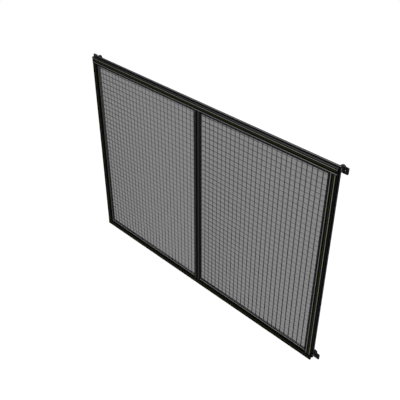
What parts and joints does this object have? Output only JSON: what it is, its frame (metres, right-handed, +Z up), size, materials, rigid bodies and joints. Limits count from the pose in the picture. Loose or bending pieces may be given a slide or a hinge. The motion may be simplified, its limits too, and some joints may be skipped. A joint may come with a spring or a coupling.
{
  "type": "machine guard fence panel",
  "caption": "Machine guard panel: black slotted profile frame with two bays of square wire mesh over a grey sheet, and a fixing lug at each corner.",
  "frame": {"origin": "on the seat ring round the fixing hole of the bottom left lug, midway over the ring on the side of the rail, at the rail's mid height", "axes": "+X along the rails to the right as seen from the front, +Y to the back of the panel, +Z up"},
  "size_m": [1.526, 0.05, 1.037],
  "materials": {
    "alloy": "black anodised, satin",
    "mesh_wire": "black powder coat on welded steel wire",
    "sheet": "smoke grey sheet, matt",
    "gasket": "black rubber",
    "strip": "dark olive plastic",
    "lug": "black powder coat on steel",
    "knob": "black moulded plastic",
    "nut": "bright zinc plate"
  },
  "bodies": {
    "root": {"top_rail": "alloy", "bottom_rail": "alloy", "left_stile": "alloy", "right_stile": "alloy", "centre_mullion": "alloy", "left_mesh_lower": "mesh_wire", "left_mesh_middle": "mesh_wire", "left_mesh_upper": "mesh_wire", "right_mesh_lower": "mesh_wire", "right_mesh_middle": "mesh_wire", "right_mesh_upper": "mesh_wire", "left_backing_sheet": "sheet", "right_backing_sheet": "sheet", "left_gasket": "gasket", "right_gasket": "gasket", "top_slot_strip": "strip", "bottom_slot_strip": "strip", "left_slot_strip": "strip", "right_slot_strip": "strip", "mullion_slot_strip": "strip", "bottom_left_lug": "lug", "bottom_right_lug": "lug", "top_left_lug": "lug", "top_right_lug": "lug", "bottom_left_knob": "knob", "bottom_right_knob": "knob", "top_left_knob": "knob", "top_right_knob": "knob", "bottom_left_nut": "nut", "bottom_right_nut": "nut", "top_left_nut": "nut", "top_right_nut": "nut"}
  },
  "joints": []
}
